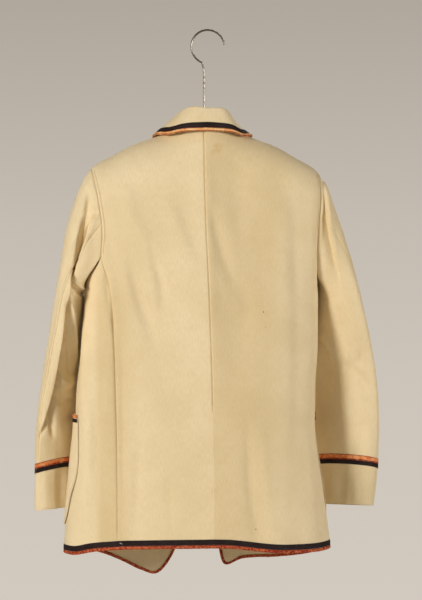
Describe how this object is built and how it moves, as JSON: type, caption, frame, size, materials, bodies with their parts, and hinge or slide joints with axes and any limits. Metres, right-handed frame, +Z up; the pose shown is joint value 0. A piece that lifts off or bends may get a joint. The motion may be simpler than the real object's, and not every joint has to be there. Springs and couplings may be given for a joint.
{
  "type": "blazer on a hanger",
  "caption": "Cream wool blazer with black and orange tape trim, hanging open on a wooden hanger with a wire hook.",
  "frame": {"origin": "inside crown of the hanger's hook, where a rod or pin holds it", "axes": "+Z up, the blazer's back faces -Y and its fronts face +Y, its left side is at -X"},
  "size_m": [0.6173, 0.2411, 0.963],
  "materials": {
    "cream_wool": "brushed wool flannel",
    "black_tape": "ribbed tape",
    "orange_tape": "ribbed tape",
    "horn": "polished",
    "wood": "varnished",
    "steel": "drawn wire"
  },
  "bodies": {
    "root": {"back_left": "cream_wool", "back_right": "cream_wool", "button_bottom": "horn", "button_middle": "horn", "button_top": "horn", "collar": "cream_wool", "collar_tape_black": "black_tape", "collar_tape_orange": "orange_tape", "cuff_tape_left_black": "black_tape", "cuff_tape_left_orange": "orange_tape", "cuff_tape_right_black": "black_tape", "cuff_tape_right_orange": "orange_tape", "edge_tape_black": "black_tape", "edge_tape_orange": "orange_tape", "front_left": "cream_wool", "front_right": "cream_wool", "hanger_arms": "wood", "hanger_hook": "steel", "lapel_left": "cream_wool", "lapel_right": "cream_wool", "lapel_tape_left": "black_tape", "lapel_tape_right": "black_tape", "pocket_left": "cream_wool", "pocket_right": "cream_wool", "pocket_tape_left": "black_tape", "pocket_tape_right": "black_tape", "sleeve_left_under": "cream_wool", "sleeve_left_upper": "cream_wool", "sleeve_right_under": "cream_wool", "sleeve_right_upper": "cream_wool"}
  },
  "joints": []
}
